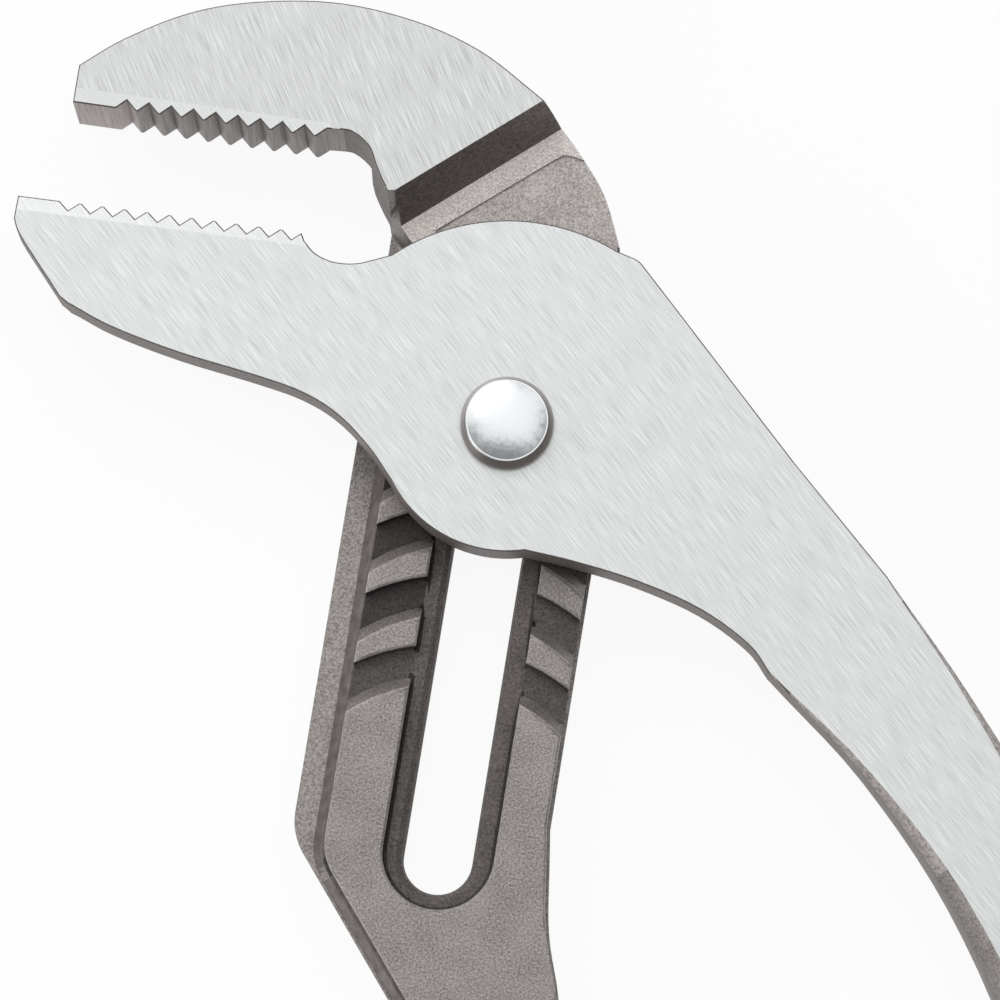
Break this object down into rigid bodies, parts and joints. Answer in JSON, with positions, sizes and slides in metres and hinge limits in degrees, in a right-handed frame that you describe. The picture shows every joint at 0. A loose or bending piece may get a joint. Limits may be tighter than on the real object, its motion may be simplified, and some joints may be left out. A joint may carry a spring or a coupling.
{
  "type": "water pump pliers",
  "caption": "Adjustable water pump pliers: a slotted lever with curved channels, a tongued lever and a bolted pivot that slides from channel to channel.",
  "frame": {"origin": "on the pivot axis, on the end of the nut, the plane that the tool lies on", "axes": "+Y along the slot towards the jaws, +Z along the bolt towards its head, +X to the side of the front handle"},
  "size_m": [0.1722, 0.2982, 0.0182],
  "materials": {
    "forged_steel": "drop-forged, with a ground jaw face",
    "ground_steel": "ground along the handle",
    "polished_steel": "polished",
    "nut_steel": "turned",
    "grip_vinyl": "dipped, satin"
  },
  "bodies": {
    "slotted_half": {"slotted_lever": "forged_steel", "slotted_lever_grip": "grip_vinyl"},
    "pivot": {"pivot_bolt": "polished_steel", "pivot_nut": "nut_steel"},
    "tongued_half": {"tongue_lever": "ground_steel", "tongue_lever_grip": "grip_vinyl"}
  },
  "joints": [
    {"name": "setting_slide", "type": "slide", "parent": "slotted_half", "child": "pivot", "axis": [0, -1, 0], "range_m": [0, 0.0504]},
    {"name": "pivot_hinge", "type": "hinge", "parent": "pivot", "child": "tongued_half", "pos_m": [0, 0, 0], "axis": [0, 0, 1], "range_deg": [-10.5, 35]}
  ]
}
